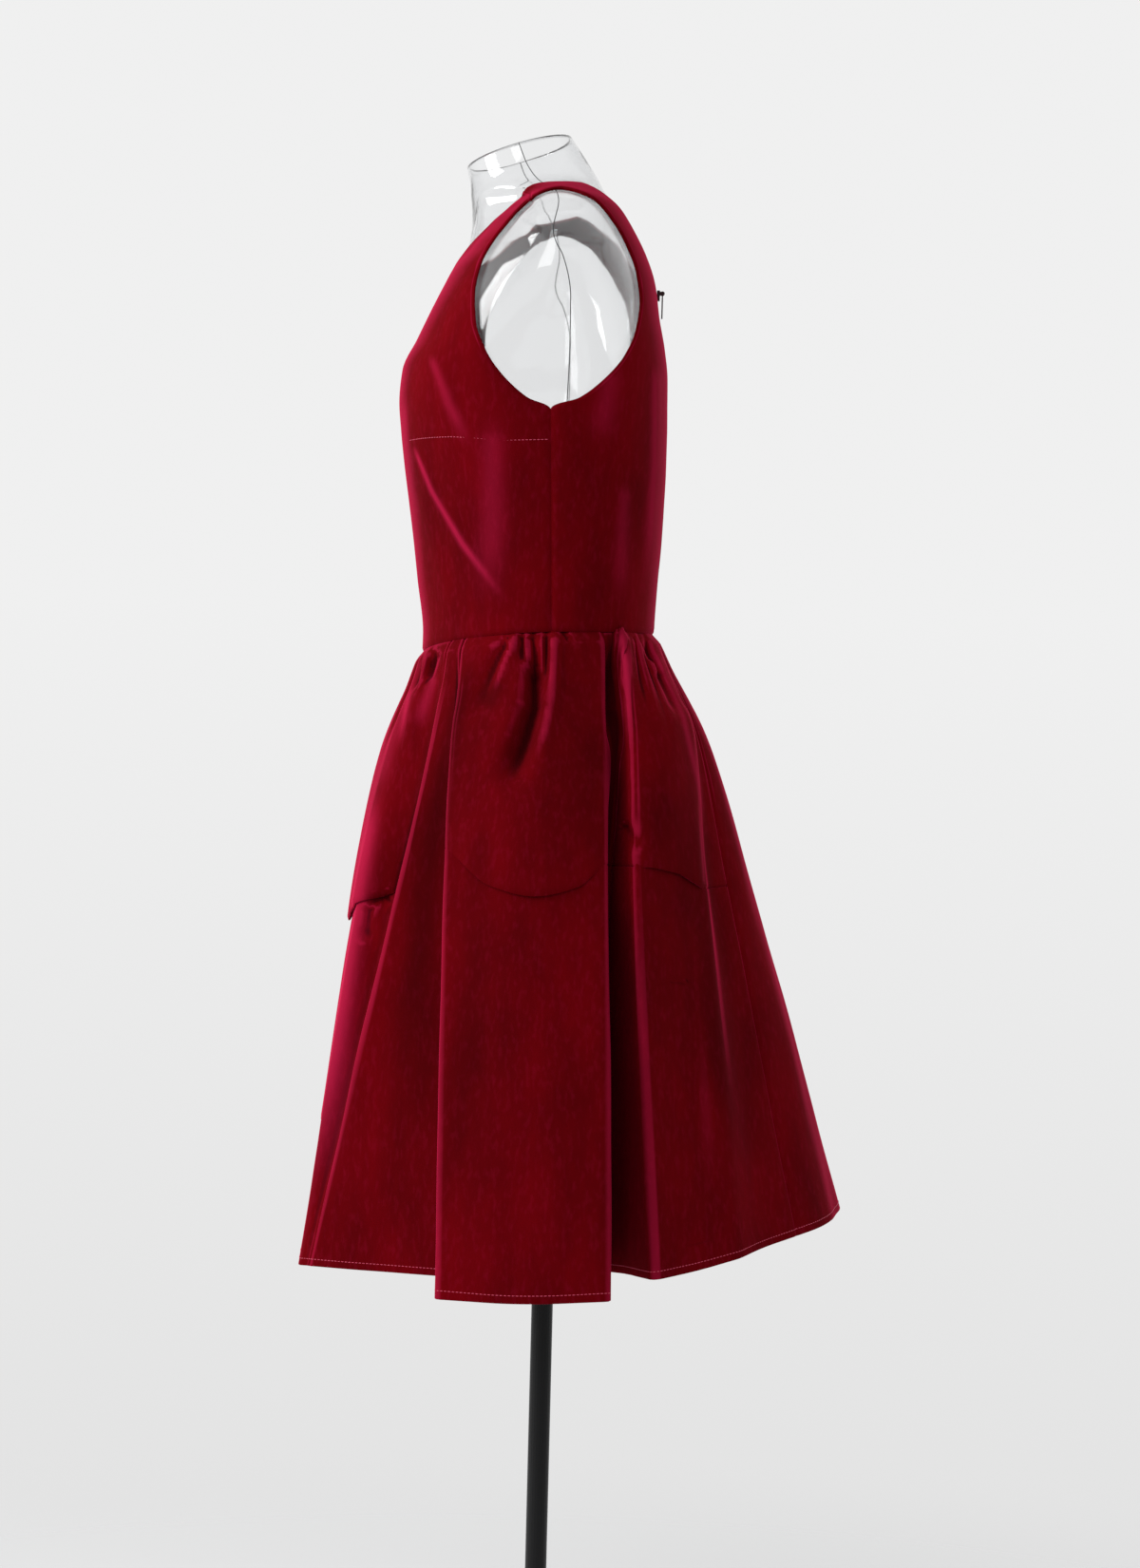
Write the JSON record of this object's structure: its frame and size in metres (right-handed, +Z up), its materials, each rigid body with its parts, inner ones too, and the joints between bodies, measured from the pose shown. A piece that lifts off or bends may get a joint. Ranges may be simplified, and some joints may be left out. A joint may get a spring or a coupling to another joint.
{
  "type": "velvet dress on limbless dress form with pole stand",
  "caption": "Sleeveless knee-length velvet dress with gathered pocket-like upper skirt panels, worn by a clear limbless dress form on a pole with a round base.",
  "frame": {"origin": "centre of the base plate's underside, on the pole's axis", "axes": "+Z up along the pole, -Y out of the front of the dress, +X towards the wearer's left"},
  "size_m": [0.5468, 0.4769, 1.4746],
  "materials": {
    "velvet": "deep red velvet with a pink sheen",
    "clear_plastic": "clear glossy moulded plastic",
    "black_metal": "black painted steel",
    "zip_tape": "woven tape with nylon coils",
    "zip_metal": "dark painted metal"
  },
  "bodies": {
    "dress_and_stand": {"form_torso": "clear_plastic", "form_plate": "black_metal", "form_socket": "black_metal", "pole": "black_metal", "base_plate": "black_metal", "base_collar": "black_metal", "bodice_front": "velvet", "bodice_back_left": "velvet", "bodice_back_right": "velvet", "skirt_front_upper": "velvet", "skirt_front_lower": "velvet", "skirt_gore_left": "velvet", "skirt_gore_right": "velvet", "skirt_side_left_upper": "velvet", "skirt_side_left_lower": "velvet", "skirt_side_right_upper": "velvet", "skirt_side_right_lower": "velvet", "skirt_back_left_upper": "velvet", "skirt_back_left_lower": "velvet", "skirt_back_right_upper": "velvet", "skirt_back_right_lower": "velvet", "skirt_centre_back_left": "velvet", "skirt_centre_back_right": "velvet", "zip_chain": "zip_tape", "zip_slider": "zip_metal"},
    "zip_pull": {"zip_pull": "zip_metal"}
  },
  "joints": [
    {"name": "zip_pull_swing", "type": "hinge", "parent": "dress_and_stand", "child": "zip_pull", "pos_m": [0, 0.08458, 1.338], "axis": [1, 0, 0], "range_deg": [0, 150]}
  ]
}
